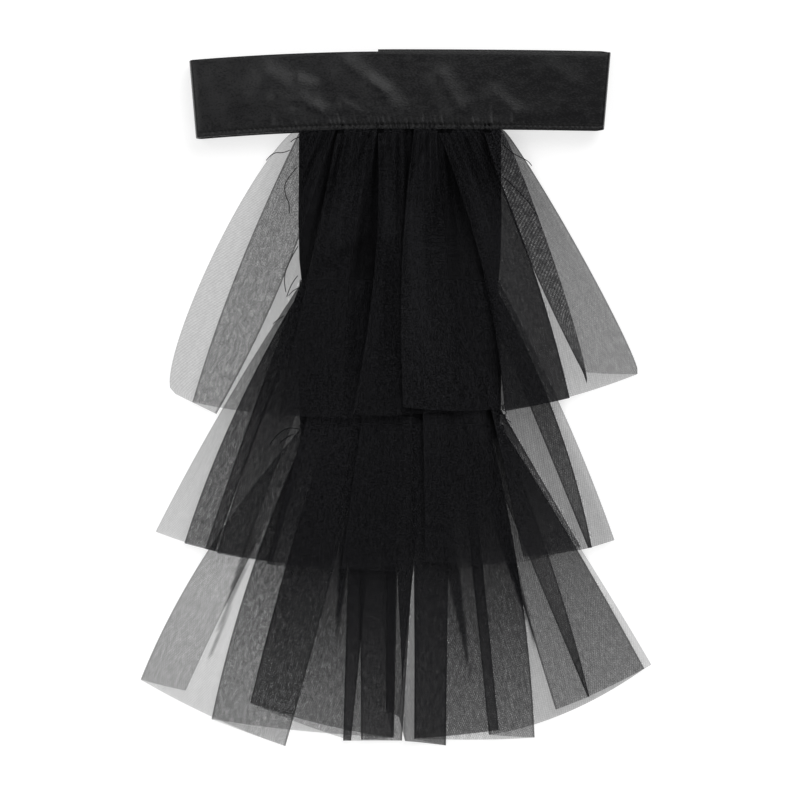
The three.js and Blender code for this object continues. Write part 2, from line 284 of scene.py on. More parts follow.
@dataclass(frozen=True)
class SatinFinish(Finish):
    """Black satin with a soft sheen along its weave.

    pressed is the painted shade of the stitched groove, the dips and the lower edge, and lit the
    painted highlight of the ribs. The weave's floats and slubs turn it from dark to light, from
    where turn says, and fade is painted shade that darkens the right side.
    """

    name: str = "black_satin"
    dark: tuple = (0.0035, 0.0035, 0.0041, 1)
    light: tuple = (0.0115, 0.0115, 0.0122, 1)
    painted_groove_shade: tuple = (0.0008, 0.0008, 0.001, 1)
    lit: tuple = (0.034, 0.034, 0.036, 1)
    roughness: float = 0.33
    float_scale: float = 1100.0
    slub_scale: float = 330.0
    wrinkle_scale: float = 62.0
    floats: float = 6.0
    slubs: float = 2.2
    turn: float = 3.62
    # Painted shade that darkens the band towards the right.
    painted_right_shade: float = 5.0

    def mix(self, recipe: Recipe) -> Mapping:
        """Reads the painted shade and painted rib highlights that the band stores.

        Args:
            recipe: The material under construction.

        Returns:
            The shader's inputs.
        """
        x, y, z = recipe.split(recipe.place())
        painted_shade_and_light = recipe.stored("painted_shade_and_light")
        floats = recipe.noise(recipe.join(x * 0.8, y * 1.3, z), self.float_scale)
        slubs = recipe.noise(recipe.join(x * 0.5, y, z), self.slub_scale, 3.0)
        slant = recipe.join(x + y * 0.55, y * 0.55 - x * 0.25, z)
        height = floats * 0.45 + slubs * 0.35 + recipe.noise(slant, self.wrinkle_scale)
        # Its last term is painted shade that darkens the band towards the right.
        turned = slubs * self.slubs + floats * self.floats - self.turn - x * self.painted_right_shade
        weave = recipe.blend(turned.clamped(), self.dark, self.light)
        # Painted highlight on the ribs, then painted shade in the stitched groove, the dips and along
        # the lower edge.
        weave_with_painted_rib_light = recipe.blend((painted_shade_and_light * -1).clamped(), weave, self.lit)
        return {
            "Base Color": recipe.blend(painted_shade_and_light.clamped(), weave_with_painted_rib_light, self.painted_groove_shade),
            "Roughness": self.roughness + (slubs - 0.5) * 0.16 + painted_shade_and_light * 0.25,
            "Specular IOR Level": 0.19,
            "Normal": recipe.bump(height, 0.35 * MM, 0.4),
        }


@dataclass(frozen=True)
class PanelFinish(Finish):
    """Matte black plain weave."""

    name: str = "black_panel_cloth"
    dark: tuple = (0.004, 0.004, 0.0045, 1)
    light: tuple = (0.01, 0.01, 0.0108, 1)
    thread: float = 0.5 * MM

    def mix(self, recipe: Recipe) -> Mapping:
        """Crosses two rows of threads and adds fuzz.

        Args:
            recipe: The material under construction.

        Returns:
            The shader's inputs.
        """
        place = recipe.place()
        x, y, _ = recipe.split(place)
        turn = 2 * math.pi / self.thread
        weave = (x * turn).sine() * (y * turn).sine() * 0.5 + 0.5
        fuzz = recipe.noise(place, 900.0, 3.0)
        return {
            "Base Color": recipe.blend(fuzz, self.dark, self.light),
            "Roughness": 0.85 + (fuzz - 0.5) * 0.1,
            "Specular IOR Level": 0.03,
            "Normal": recipe.bump(weave + fuzz * 0.5, 0.12 * MM, 0.5),
        }


@dataclass(frozen=True)
class ThreadFinish(Finish):
    """Black sewing thread with its twist."""

    name: str = "black_thread"
    dark: tuple = (0.002, 0.002, 0.0024, 1)
    worn: tuple = (0.008, 0.008, 0.009, 1)

    def mix(self, recipe: Recipe) -> Mapping:
        """Makes the twist from fine noise."""
        twist = recipe.noise(recipe.place(), 2600.0, 1.0)
        return {
            "Base Color": recipe.blend(twist, self.dark, self.worn),
            "Roughness": 0.55 + twist * 0.15,
            "Specular IOR Level": 0.08,
            "Normal": recipe.bump(twist, 0.1 * MM, 0.6),
        }


@dataclass(frozen=True)
class TapeFinish(Finish):
    """Black hook-and-loop tape: rows of small loops."""

    name: str = "black_closure_tape"
    dark: tuple = (0.006, 0.006, 0.0065, 1)
    light: tuple = (0.02, 0.02, 0.022, 1)
    row: float = 1.1 * MM

    def mix(self, recipe: Recipe) -> Mapping:
        """Lines the loops up in slanted rows.

        Args:
            recipe: The material under construction.

        Returns:
            The shader's inputs.
        """
        place = recipe.place()
        x, y, _ = recipe.split(place)
        rows = ((x + y * 0.2) * (2 * math.pi / self.row)).sine() * 0.5 + 0.5
        loops = recipe.noise(place, 1400.0)
        return {
            "Base Color": recipe.blend(loops, self.dark, self.light),
            "Roughness": 0.7 + (loops - 0.5) * 0.2,
            "Specular IOR Level": 0.3,
            "Normal": recipe.bump(rows * loops, 0.3 * MM, 0.8),
        }


@dataclass(frozen=True)
class TableFinish(Finish):
    """The pale plain surface that the jabot lies on."""

    name: str = "pale_table"
    light: tuple = (0.46, 0.46, 0.46, 1)
    dark: tuple = (0.4554, 0.4554, 0.4554, 1)
    glow: float = 0.65

    def mix(self, recipe: Recipe) -> Mapping:
        """Mottles it very slightly."""
        return {
            "Base Color": recipe.blend(recipe.noise(recipe.place(), 8.0), self.dark, self.light),
            "Roughness": 0.9,
            "Specular IOR Level": 0.05,
            "Emission Color": (1, 1, 1, 1),
            "Emission Strength": self.glow,
        }


def to_right(column: float | Array) -> float | Array:
    """Metres to the right of the band's middle of a column of the photograph."""
    return (column - MIDDLE_COLUMN) * PIXEL


def to_up(row: float | Array) -> float | Array:
    """Metres above the band's lower edge of a row of the photograph."""
    return (BAND_ROW - row) * PIXEL


def bell(distance: float | Array, width: float) -> float | Array:
    """A smooth rise to 1 at no distance that fades over a width."""
    return np.exp(-(distance / width) ** 2)


@dataclass(frozen=True)
class Place:
    """Where the middle of the band's lower edge is in the row frame."""

    x: float
    y: float

    @classmethod
    def from_patch(cls, middle: tuple[float, float]) -> "Place":
        """Finds it from the closure patch, whose middle is at a known place on the band."""
        low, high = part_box("closure_patch")
        return cls((low[0] + high[0]) / 2 - middle[0], (low[1] + high[1]) / 2 - middle[1])

    @property
    def shift(self) -> Array:
        """What moves points given from there into the row frame."""
        return np.array([self.x, self.y, 0.0])


def add_piece(name: str, points: Array, faces: list[list[int]]) -> Piece:
    """Makes a piece from its points and faces.

    Args:
        name: The piece's name.
        points: Points as rows of three, in metres.
        faces: The numbers of each face's points.

    Returns:
        The piece's object.
    """
    mesh = bpy.data.meshes.new(name)
    mesh.from_pydata(points.tolist(), [], faces)
    mesh.update()
    piece = bpy.data.objects.new(name, mesh)
    bpy.context.scene.collection.objects.link(piece)
    return piece


def cloth_mesh(name: str, rows: Array, wrap: bool = False) -> Piece:
    """Makes a sheet from a grid of points.

    Args:
        name: The piece's name.
        rows: Points as rows by columns by three, in metres.
        wrap: Whether the last column joins the first.

    Returns:
        The sheet's object.
    """
    height, width, _ = rows.shape
    index = np.arange(height * width).reshape(height, width)
    right = np.roll(index, -1, axis=1) if wrap else index[:, 1:]
    left = index if wrap else index[:, :-1]
    quads = np.stack([left[1:], right[1:], right[:-1], left[:-1]], axis=-1).reshape(-1, 4)
    return add_piece(name, rows.reshape(-1, 3), quads.tolist())


def store(piece: Piece, name: str, values: Array) -> None:
    """Stores one value or one vector per point.

    Args:
        piece: The piece.
        name: The attribute's name.
        values: Numbers as rows by columns, or vectors as rows by columns by three.
    """
    kind, field_name = ("FLOAT", "value") if values.ndim == 2 else ("FLOAT_VECTOR", "vector")
    attribute = piece.data.attributes.new(name, kind, "POINT")
    attribute.data.foreach_set(field_name, values.astype(np.float32).ravel())


def lay_out(piece: Piece, places: Array) -> None:
    """Gives a piece its UV map.

    Args:
        piece: The piece.
        places: The place of each point in the cloth's cut, from 0 to 1.
    """
    layer = piece.data.uv_layers.new(name="cut")
    corners = np.zeros(len(piece.data.loops), dtype=np.int32)
    piece.data.loops.foreach_get("vertex_index", corners)
    layer.data.foreach_set("uv", places.reshape(-1, 2)[corners].astype(np.float32).ravel())


def only(piece: Piece) -> None:
    """Selects one piece alone and makes it active."""
    bpy.ops.object.select_all(action="DESELECT")
    piece.select_set(True)
    bpy.context.view_layer.objects.active = piece


def smooth(piece: Piece, degrees: float = 50.0) -> None:
    """Shades a piece smooth, except at edges sharper than an angle in degrees."""
    only(piece)
    bpy.ops.object.shade_smooth_by_angle(angle=math.radians(degrees))


def wear(piece: Piece, material: Material) -> None:
    """Gives a piece one material."""
    piece.data.materials.clear()
    piece.data.materials.append(material)


def place_piece(piece: Piece, slot: Slot, material: Material, *nodes: str) -> None:
    """Says what a piece is made of, what it rides on and what it stands for.

    Args:
        piece: The piece.
        slot: Its slot in the record; not used.
        material: Its material.
        nodes: The CAD nodes that it replaces.
    """
    wear(piece, material)
    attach(piece, "root")
    if nodes:
        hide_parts(*nodes)
    LOG.info("%s: %d faces", piece.name, len(piece.data.polygons))


class LaidCloth:
    """Heights of all that is laid down so far, on square cells seen from above."""

    def __init__(self, place: Place, reach: float = 0.34, cell: float = 0.5 * MM) -> None:
        """Starts with the bare surface.

        Args:
            place: The middle of the band's lower edge, which is the map's middle.
            reach: Half the map's side.
            cell: A cell's side.
        """
        self.place = place
        self.reach = reach
        self.cell = cell
        side = int(2 * reach / cell)
        self.heights = np.zeros((side, side))
        self.counts = np.zeros((side, side))

    def _cells(self, x: Array, y: Array) -> tuple[Array, ...]:
        """The rows and columns of the cells of points given from the band's middle."""
        return tuple(((place + self.reach) / self.cell).astype(int) for place in (y, x))

    def under(self, x: Array, y: Array, spread: int = 3) -> Array:
        """The highest cloth near each point.

        Args:
            x: Across, from the band's middle.
            y: Up, from the band's lower edge.
            spread: How many cells around the point count.

        Returns:
            The heights.
        """
        rows, columns = self._cells(x, y)
        top = np.zeros_like(x)
        for down in range(-spread, spread + 1):
            for across in range(-spread, spread + 1):
                top = np.maximum(top, self.heights[rows + down, columns + across])
        return top

    def sheets(self, x: Array, y: Array) -> Array:
        """How many sheets of net lie at each point."""
        return self.counts[self._cells(x, y)]

    def lay(self, grid: Array, wall: float, is_net: bool = False) -> None:
        """Adds a sheet's upper side.

        Args:
            grid: The sheet's points from the band's middle, as rows by columns by three.
            wall: How much lies between its points and its upper side.
            is_net: Whether the sheet counts as a layer of net.
        """
        for axis in (0, 1):
            steps = np.linalg.norm(np.diff(grid[..., :2], axis=axis), axis=-1)
            count = max(1, int(np.ceil(steps.max() / (self.cell * 0.7))))
            places = np.arange((grid.shape[axis] - 1) * count + 1) / count
            start = np.minimum(places.astype(int), grid.shape[axis] - 2)
            share = np.expand_dims(places - start, (1 - axis, 2))
            grid = grid.take(start, axis) * (1 - share) + grid.take(start + 1, axis) * share
        cells = self._cells(grid[..., 0], grid[..., 1])
        np.maximum.at(self.heights, cells, grid[..., 2] + wall)
        if is_net:
            covered = np.zeros_like(self.counts)
            covered[cells] = 1
            self.counts += covered


def even_out(needed: Array, rounds: int = 40) -> Array:
    """Lets cloth span the dips under it, and never sink into what it touches.

    Args:
        needed: The lowest that each point of the cloth may be, as rows by columns.
        rounds: How far it spans.

    Returns:
        The settled heights.
    """
    heights = needed
    for _ in range(rounds):
        around = np.pad(heights, 1, mode="edge")
        middle = (around[:-2, 1:-1] + around[2:, 1:-1] + around[1:-1, :-2] + around[1:-1, 2:]) / 4
        heights = np.maximum(needed, middle)
    return heights


@dataclass(frozen=True)
class Fold:
    """A fold line of a ruffle.

    Places are pixels of the photograph: seam is its column at the seam, hem and row are where it
    ends, and bow is how far it curves sideways. crisp is how dark the crease shows. Of the pleat
    after it, thick is how dense it is, full how much is gathered near the seam and sag how round
    its hem hangs. shoulder is the power of the bow, less than 1 for rounded shoulders.
    """

    seam: float
    hem: float
    row: float
    bow: float = 0.0
    crisp: float = 1.0
    thick: float = 1.0
    full: float = 1.0
    sag: float = 1.0
    shoulder: float = 1.0


@dataclass(frozen=True)
class Valley:
    """Painted shade of a valley between gathers that widens from its start, painted light of a ridge,
    or a pinched tuck.

    Places are pixels of the photograph. width is half its width at the end, and shade how much
    darker the net is painted there, less than 0 for a ridge painted lighter; in a tuck it is how
    much denser the net is. blunt is how wide it is at least at its start, as a share of width, and
    soft how far its sides blur.
    """

    start: tuple[float, float]
    end: tuple[float, float]
    width: float
    shade: float
    blunt: float = 0.08
    soft: float | None = None

    def at(self, x: Array, y: Array) -> Array:
        """How much shade it gives.

        Args:
            x: Across, from the band's middle.
            y: Up, from the band's lower edge.

        Returns:
            The shade at each point.
        """
        column = x / PIXEL + MIDDLE_COLUMN - self.start[0]
        row = BAND_ROW - y / PIXEL - self.start[1]
        across, down = self.end[0] - self.start[0], self.end[1] - self.start[1]
        size = math.hypot(across, down)
        way = (column * across + row * down) / size ** 2
        side = np.abs(column * down - row * across) / size
        half = self.width * np.clip(way, self.blunt, 1.15)
        soft = 0.35 * self.width + 1.5 if self.soft is None else self.soft
        edge = np.clip((half - side) / soft + 0.5, 0, 1)
        ends = np.clip(way * 9, 0, 1) * np.clip((1.45 - way) / 0.7, 0, 1)
        return self.shade * edge * ends


@dataclass
class Ruffle:
    """One strip of tulle, gathered at its seam and folded into pleats that lie on each other.

    seam is how far it is sewn on below the band's lower edge, depth its cut from seam to hem,
    and heading what stands above the seam. A pleat lies a layer above what is under it, and
    the upper tier stays below a ceiling. flute is how wide a small gather is when spread out,
    fullness how much denser the net is at the seam, and billow how far it stands out below.
    """

    name: str
    node: str
    seam: float
    depth: float
    heading: float
    folds: tuple[Fold, ...]
    row_count: int = 54
    column_step: float = 1.25 * MM
    fold_bend: float = 0.5 * MM
    flute: float = 6.5 * MM
    layer: float = 1.2 * MM
    ceiling: float = 16 * MM
    fullness: float = 1.0
    most_packed: float = 3.2
    gather_lift: float = 1.2 * MM
    billow: float = 0.2 * MM
    # How much painted shade darkens the hollows of the gathers near the seam.
    painted_gather_shade: float = 0.5
    painted_valleys_and_ridges: tuple[Valley, ...] = ()
    tucks: tuple[Valley, ...] = ()
    seed: int = 1
    rng: np.random.Generator = field(init=False)
    length: float = field(init=False, default=0.0)

    def __post_init__(self) -> None:
        """Seeds what varies from pleat to pleat."""
        self.rng = np.random.default_rng(self.seed)

    def shares(self) -> Array:
        """The rows' places from above the seam to the hem, closer together at the seam.

        Returns:
            Shares of the way from the seam to the hem.
        """
        down = np.linspace(0, 1, self.row_count) ** 1.3
        return np.concatenate([np.array([-1, -0.5]) * self.heading / self.depth, down])

    def line(self, fold: Fold, shares: Array) -> Array:
        """The points of a fold line, from the band's middle.

        Args:
            fold: The fold line.
            shares: The rows' places.

        Returns:
            Points as rows by two.
        """
        way = np.clip(shares, 0, 1)
        start, end = to_right(fold.seam), to_right(fold.hem)
        fall = np.where(shares > 0, -to_up(fold.row) - self.seam, self.depth)
        bow = (4 * way * (1 - way)) ** fold.shoulder * fold.bow * PIXEL
        return np.stack([start + (end - start) * way + bow, -self.seam - shares * fall], -1)

    def columns(self, hem_width: float, width: Array) -> Array:
        """Where a pleat's columns are from fold to fold, closer together at its bends.

        Args:
            hem_width: The pleat's width at the hem.
            width: Its width on each row, as rows by one.

        Returns:
            Shares of the width, as rows by columns.
        """
        count = int(np.clip(round(hem_width / self.column_step), 4, 60))
        bends = self.fold_bend * np.array([[0.0, 1.0, 2.2]])
        inset = np.minimum(bends / width, np.array([[0.0, 0.12, 0.25]]))
        inner = np.linspace(0, 1, count + 1)[None, 1:-1]
        middle = inset[:, 2:] + inner * (1 - 2 * inset[:, 2:])
        return np.concatenate([inset, middle, 1 - inset[:, ::-1]], axis=1)

    def gathers(self, across: Array, flat_width: float) -> Array:
        """The small gathers, which differ from pleat to pleat.

        Args:
            across: Places from fold to fold, as rows by columns.
            flat_width: The pleat's width before it is gathered.

        Returns:
            Their wave, from -1 to 1.
        """
        count = max(2, round(flat_width / self.flute))
        phase = self.rng.uniform(0, 2 * math.pi)
        drift = self.rng.normal(0, 0.35, 6).cumsum()
        drift = np.interp(across, np.linspace(0, 1, drift.size), drift)
        return np.sin(2 * math.pi * count * across + phase + drift)

    def settle(self, x: Array, y: Array, lift: Array, laid: LaidCloth) -> Array:
        """Rests a pleat on what is there and, in the upper tier, keeps it under the band.

        Args:
            x: Across, from the band's middle.
            y: Up, from the band's lower edge.
            lift: How far its gathers stand out.
            laid: The cloth that lies there already.

        Returns:
            The pleat's heights.
        """
        z = even_out(laid.under(x, y) + self.layer) + lift
        if self.seam:
            return z
        return np.minimum(z, self.ceiling + np.maximum(0, -y - 2 * MM) * 1.2)

    def pleat(self, first: Fold, second: Fold, laid: LaidCloth) -> dict[str, Array]:
        """One pleat between two fold lines, laid on what is there.

        Args:
            first: The fold line that it starts from.
            second: The fold line that it ends on.
            laid: The cloth that lies there already.

        Returns:
            What the ruffle stores, each as rows by columns.
        """
        shares = self.shares()
        start, end = self.line(first, shares), self.line(second, shares)
        hem_width = abs(second.hem - first.hem) * PIXEL
        seam_width = abs(second.seam - first.seam) * PIXEL
        flat_width = max(hem_width, seam_width)
        width = np.abs(end[:, 0] - start[:, 0])[:, None]
        across = self.columns(hem_width, width)
        way = np.clip(shares, 0, 1)[:, None]
        near = 1 - way
        widening = max(0.0, hem_width - seam_width) / self.depth
        sag = width * widening * across * (1 - across) / 2 * way * first.sag
        x = start[:, :1] + (end[:, :1] - start[:, :1]) * across
        y = start[:, 1:] + (end[:, 1:] - start[:, 1:]) * across - sag
        wave = self.gathers(across, flat_width)
        lift = self.gather_lift * near ** 3 + self.billow * np.sin(math.pi * way)
        points = np.stack([x, y, self.settle(x, y, lift * (wave + 1) * 0.5, laid)], -1)
        packed = np.clip(flat_width / np.maximum(width, 1 * MM), 1.0, self.most_packed)
        gathered = 1 + self.fullness * first.full * near ** 1.5
        net = packed * gathered * (1 + 0.22 * np.abs(wave) * near ** 3) * first.thick
        for tuck in self.tucks:
            net = net * (1 + tuck.at(x, y))
        if self.seam:
            net[:2] *= np.array([[0.0], [0.5]])
        # Painted shade in the hollows of the gathers near the seam, plus each painted valley and
        # ridge wedge.
        shade = (0.5 - 0.5 * wave) * near ** 2.5 * self.painted_gather_shade
        shade = shade + sum(valley.at(x, y) for valley in self.painted_valleys_and_ridges)
        edge = np.array([1.0, 0.75, 0.0])
        crease = np.zeros_like(across)
        crease[:, :3] = edge * first.crisp
        crease[:, -3:] = np.maximum(crease[:, -3:], edge[::-1] * second.crisp)
        flat = np.stack([across * flat_width, np.broadcast_to(way * self.depth, across.shape)], -1)
        overlap = np.clip(laid.sheets(x, y) / 3, 0, 1)
        laid.lay(points, 0.0, True)
        return {"points": points, "flat": flat, "net": net, "crease": crease, "shade": shade,
                "overlap": overlap}

    def build(self, laid: LaidCloth) -> Piece:
        """Lays the whole strip down, pleat by pleat.

        Args:
            laid: The cloth that lies there already.

        Returns:
            The ruffle's object.
        """
        parts: list[dict[str, Array]] = []
        for first, second in zip(self.folds, self.folds[1:]):
            made = self.pleat(first, second, laid)
            made["flat"][..., 0] += self.length
            self.length = made["flat"][..., 0].max()
            if parts:
                tip = parts[-1]["points"][:, -1]
                tip[:, 2] = (tip[:, 2] + made["points"][:, 0, 2]) / 2
                made = {key: value[:, 1:] for key, value in made.items()}
            parts.append(made)
        whole = {key: np.concatenate([part[key] for part in parts], axis=1) for key in parts[0]}
        piece = cloth_mesh(self.name, whole["points"] + laid.place.shift)
        for key in ("net", "crease", "shade", "overlap"):
            store(piece, key, whole[key])
        flat = whole["flat"]
        store(piece, "grain", np.concatenate([flat, np.zeros_like(flat[..., :1])], -1))
        lay_out(piece, flat / np.array([self.length, self.depth]))
        piece.data.shade_smooth()
        return piece

    def dress(self, piece: Piece, material: Material) -> None:
        place_piece(piece, Slot.TULLE, material, self.node)


@dataclass
class NeckLoop:
    """The satin strip, flattened into a loop whose back ends overlap.

    loop is its length round, flare how much narrower the lower edge is on each side, and fold
    how far a folded end bulges. The droops, the rise and right_end are how the ends have
    slipped. rib is the distance between the ribs that the stitches pull up, and groove and
    pillow are how deep the stitches sink and how high the middle stands.
    """

    loop: float = 401 * MM
    height: float = 37 * MM
    wall: float = 1.2 * MM
    flare: float = 3.2 * MM
    fold: float = 4 * MM
    left_droop: float = 4.2 * MM
    right_droop: float = 1 * MM
    right_end: float = -10.5 * MM
    right_rise: float = 1.8 * MM
    overlap: float = 36 * MM
    right_under: float = 2.6 * MM
    stitch_line: float = 2.4 * MM
    rib: float = 2.5 * MM
    groove: float = 0.35 * MM
    pillow: float = 0.25 * MM
    front_step: float = 0.42 * MM
    back_step: float = 3 * MM
    roundness: float = 0.75
    pull_reach: float = 56 * MM
    pucker_count: int = 70

    def __post_init__(self) -> None:
        """Reads the front's height from the CAD band."""
        self.front_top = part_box("neckband")[1][2]

    @property
    def half(self) -> float:
        """Half the width of the flat loop."""
        return self.loop / 4

    def point(self, across: Array, up: Array, z: Array, rise: Array) -> Array:
        """Points of the band.

        Args:
            across: x on the upper edge.
            up: 0 at the lower edge and 1 at the upper edge.
            z: Height.
            rise: How far the band has slipped up there.

        Returns:
            The points.
        """
        x = across * (1 - self.flare / self.half * (1 - up))
        droop = np.where(across < 0, self.left_droop, self.right_droop) * (across / self.half) ** 2
        return np.stack(np.broadcast_arrays(x, up * self.height - droop + rise, z), -1)

    def route(self) -> Array:
        """The band's middle line seen from its lower edge.

        Returns:
            Rows of x, z, rise and direction of travel.
        """
        front = self.front_top - self.wall / 2
        right_back = self.right_under + self.wall / 2
        left_back = self.wall / 2
        bend = self.half - self.fold - self.wall / 2
        rows: list[tuple[float, float, float, float]] = []

        def run(start: float, end: float, z: float, slip: bool) -> None:
            """One straight stretch."""
            step = self.front_step if z == front else self.back_step
            for x in np.linspace(start, end, int(abs(end - start) / step))[:-1]:
                rise = self.right_rise if slip else 0.0
                rows.append((x, z, rise, 0.0 if end > start else math.pi))

        def turn(side: int, start: float, end: float) -> None:
            """One folded end."""
            for angle in np.linspace(0, math.pi, 19):
                level = math.copysign(abs(math.cos(angle)) ** self.roundness, math.cos(angle))
                z = (start + end) / 2 + (start - end) / 2 * level
                x = side * (bend + self.fold * max(math.sin(angle), 0.0) ** self.roundness)
                rise = self.right_rise * (1 - angle / math.pi) if side > 0 else 0.0
                rows.append((x, z, rise, angle if side > 0 else math.pi + angle))

        run(self.right_end, bend, right_back, True)
        turn(1, right_back, front)
        run(bend - 1 * MM, -bend, front, False)
        turn(-1, front, left_back)
        run(-bend + 1 * MM, self.right_end + self.overlap, left_back, False)
        return np.array(rows)

    def relief(self, x: Array, up: Array) -> Array:
        """How far the front's satin stands out: its puckers, creases and stitched groove.

        Args:
            x: Across, from the band's middle.
            up: 0 at the lower edge and 1 at the upper edge.

        Returns:
            Heights in metres.
        """
        y = up * self.height
        off = y - self.stitch_line
        groove = -self.groove * bell(off, 0.55 * MM)
        pillow = self.pillow * (1 - (2 * up - 1) ** 4)
        return groove + self.puckers(x, off) * self.pull(x) + self.creases(x, y) + pillow

    def puckers(self, x: Array, off: Array) -> Array:
        """The ribs between the stitches and the longer puckers that run up from them.

        Args:
            x: Across, from the band's middle.
            off: Height above the stitch line.

        Returns:
            Heights in metres.
        """
        pucker = 0.4 * MM * self.ribs(x, off) * np.exp(-np.clip(off, 0, None) / (1.2 * MM))
        rng = np.random.default_rng(8)
        for _ in range(self.pucker_count):
            middle = rng.uniform(-95, 95) * MM
            slant = rng.uniform(-0.3, 0.9)
            width = rng.uniform(0.7, 1.6) * MM
            reach = rng.uniform(2.5, 8) * MM
            ridge = bell(x - middle + slant * off, width) * bell(off, reach)
            pucker += rng.uniform(0.1, 0.34) * MM * ridge * (off > -3 * MM)
        return pucker

    @staticmethod
    def creases(x: Array, y: Array) -> Array:
        """The soft diagonal creases of the front.

        Args:
            x: Across, from the band's middle.
            y: Up, from the band's lower edge.

        Returns:
            Heights in metres.
        """
        total = np.zeros_like(x)
        for left, top, right, bottom, width, rise in CREASES:
            across, down = (right - left) * MM, (bottom - top) * MM
            size = math.hypot(across, down)
            from_left, from_top = x - left * MM, y - top * MM
            way = (from_left * across + from_top * down) / size ** 2
            side = (from_left * down - from_top * across) / size
            ends = bell(np.clip(np.abs(way - 0.5) - 0.35, 0, None), 0.22)
            total += rise * MM * bell(side, width * MM) * ends
        return total

    def pull(self, x: Array) -> Array:
        """How hard the stitches pull, most over the panel."""
        return 0.3 + 0.7 * np.exp(-(x / self.pull_reach) ** 4)

    def ribs(self, x: Array, off: Array) -> Array:
        """The small ribs between the stitches.

        Args:
            x: Across, from the band's middle.
            off: Height above the stitch line.

        Returns:
            The ribs, from -1 to 1.
        """
        rng = np.random.default_rng(7)
        drift = np.interp(x, np.linspace(-0.11, 0.11, 60), rng.uniform(-2.6, 2.6, 60))
        swell = np.interp(x, np.linspace(-0.11, 0.11, 90), rng.uniform(0.35, 1.0, 90))
        return np.sin(2 * math.pi * x / self.rib + drift + off * 500) * swell

    def painted_shade_and_light(self, x: Array, up: Array) -> Array:
        """Painted shade of the stitched groove, the dips and the lower edge, and below 0 painted
        light on the ribs.

        Args:
            x: Across, from the band's middle.
            up: 0 at the lower edge and 1 at the upper edge.

        Returns:
            The painted shade, from -1 to 1, with painted light below 0.
        """
        off = up * self.height - self.stitch_line
        ribs, pull = self.ribs(x, off), self.pull(x)
        groove = bell(off, 0.6 * MM)
        dips = 0.5 - 0.5 * ribs
        rim = bell((1 - up) * self.height, 0.5 * MM)
        # Painted highlight on the rib crests just above the stitches.
        painted_rib_highlight = np.clip(ribs, 0, 1) * bell(off - 1.6 * MM, 2.2 * MM) * (pull - 0.25)
        # Painted shade in the stitched groove, in the dips between the ribs and along the lower edge.
        dark = groove * (0.6 + 0.4 * dips) + dips * bell(off - 0.2 * MM, 2.3 * MM) * pull + 0.6 * rim
        return np.clip(dark - painted_rib_highlight * (1 - groove), -1, 1)

    @staticmethod
    def section() -> tuple[Array, Array]:
        """The strip's rounded section.

        Returns:
            How far up each of its points is, and on which side of the middle line, from -1 to 1.
        """
        flat = np.concatenate([np.linspace(0.012, 0.13, 12), np.linspace(0.16, 0.988, 26)])
        bend = np.array([0.002, 0.0])
        up = np.concatenate([bend[::-1], flat, 1 - bend, 1 - bend[::-1], flat[::-1], bend])
        face = np.ones(flat.size)
        side = np.concatenate([[0.0, 0.7], face, [0.7, 0.0], [0.0, -0.7], -face, [-0.7, 0.0]])
        keep = np.concatenate([[True], (np.diff(up) != 0) | (np.diff(side) != 0)])
        keep[-1] = False
        return up[keep], side[keep]

    def build(self, place: Place) -> Piece:
        """Lofts the strip's rounded section along the loop.

        Args:
            place: The middle of the band's lower edge.

        Returns:
            The band's object.
        """
        up, side = self.section()
        x, z, rise, turn = self.route().T[:, :, None]
        out = side * self.wall / 2
        across = x - out * np.sin(turn)
        is_front = np.clip((z - self.front_top + 2.5 * MM) / (2 * MM), 0, 1)
        x, up = np.broadcast_arrays(x, up)
        relief = self.relief(x, up) * (0.25 + 0.75 * np.clip(-side, 0, 1))
        height = z + out * np.cos(turn) + is_front * relief
        points = self.point(across, up, height, rise)
        past = points[..., 2].max() - self.front_top - 0.5 * MM
        points[..., 2] -= is_front * max(0.0, past)
        piece = cloth_mesh("neck_loop_satin", points + place.shift, wrap=True)
        # Stores the front's painted shade and painted rib highlights.
        store(piece, "painted_shade_and_light", is_front * self.painted_shade_and_light(x, up))
        self.cap(piece)
        smooth(piece)
        return piece

    @staticmethod
    def cap(piece: Piece) -> None:
        """Closes the strip's two cut ends.

        Args:
            piece: The band's object.
        """
        only(piece)
        bpy.ops.object.mode_set(mode="EDIT")
        bpy.ops.mesh.select_all(action="DESELECT")
        bpy.ops.mesh.select_mode(type="EDGE")
        bpy.ops.mesh.select_non_manifold()
        bpy.ops.mesh.edge_face_add()
        bpy.ops.mesh.select_all(action="SELECT")
        bpy.ops.mesh.normals_make_consistent(inside=False)
        bpy.ops.object.mode_set(mode="OBJECT")

    def dress(self, piece: Piece, material: Material) -> None:
        place_piece(piece, Slot.SATIN, material, "neckband")


